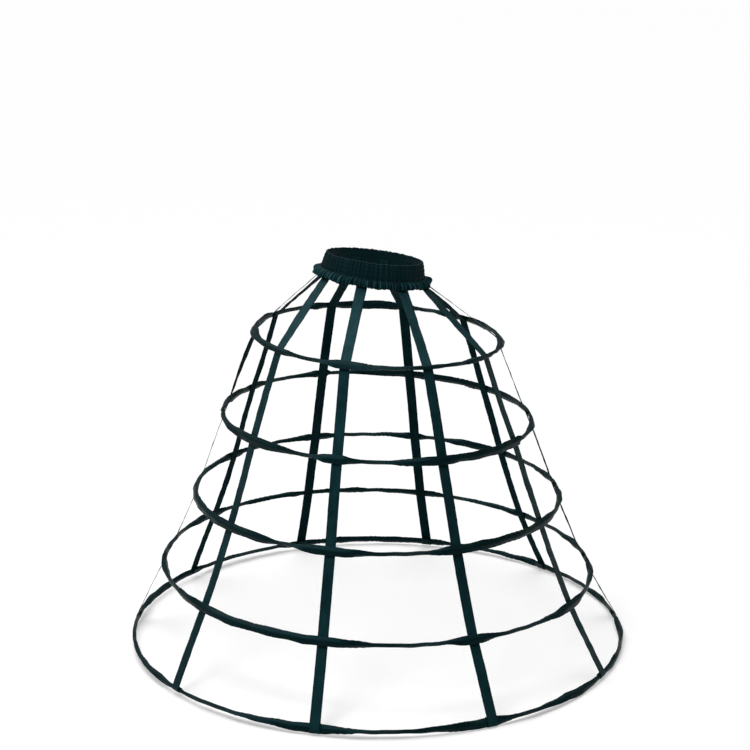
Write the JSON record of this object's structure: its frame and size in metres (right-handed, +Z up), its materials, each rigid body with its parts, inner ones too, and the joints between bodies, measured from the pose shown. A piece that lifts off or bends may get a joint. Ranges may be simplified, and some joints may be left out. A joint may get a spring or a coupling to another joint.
{
  "type": "crinoline cage",
  "caption": "Open crinoline cage: covered steel hoops of growing size hang on flat satin tapes from a gathered elastic waistband with a frilled edge.",
  "frame": {"origin": "centre of the waist opening, half-way up the elastic part of the waistband", "axes": "+Z up out of the waist, -Y towards the front, +X to the right as seen from the front"},
  "size_m": [1.2141, 1.2122, 0.9619],
  "materials": {
    "waistband_satin": "gathered dark teal-black satin",
    "elastic": "black knitted elastic",
    "tape_satin": "dark teal satin tape, soft sheen",
    "casing_satin": "dark teal-black satin, creased",
    "spring_steel": "drawn spring wire",
    "ferrule_brass": "crimped tube"
  },
  "bodies": {
    "root": {"waistband": "waistband_satin", "waist_elastic": "elastic", "tape_01": "tape_satin", "tape_02": "tape_satin", "tape_03": "tape_satin", "tape_04": "tape_satin", "tape_05": "tape_satin", "tape_06": "tape_satin", "tape_07": "tape_satin", "tape_08": "tape_satin", "tape_09": "tape_satin", "tape_10": "tape_satin", "hoop_casing_1": "casing_satin", "hoop_casing_2": "casing_satin", "hoop_casing_3": "casing_satin", "hoop_casing_4": "casing_satin", "hoop_casing_5": "casing_satin", "hoop_wire_1": "spring_steel", "hoop_wire_2": "spring_steel", "hoop_wire_3": "spring_steel", "hoop_wire_4": "spring_steel", "hoop_wire_5": "spring_steel", "hoop_ferrule_1": "ferrule_brass", "hoop_ferrule_2": "ferrule_brass", "hoop_ferrule_3": "ferrule_brass", "hoop_ferrule_4": "ferrule_brass", "hoop_ferrule_5": "ferrule_brass"}
  },
  "joints": []
}
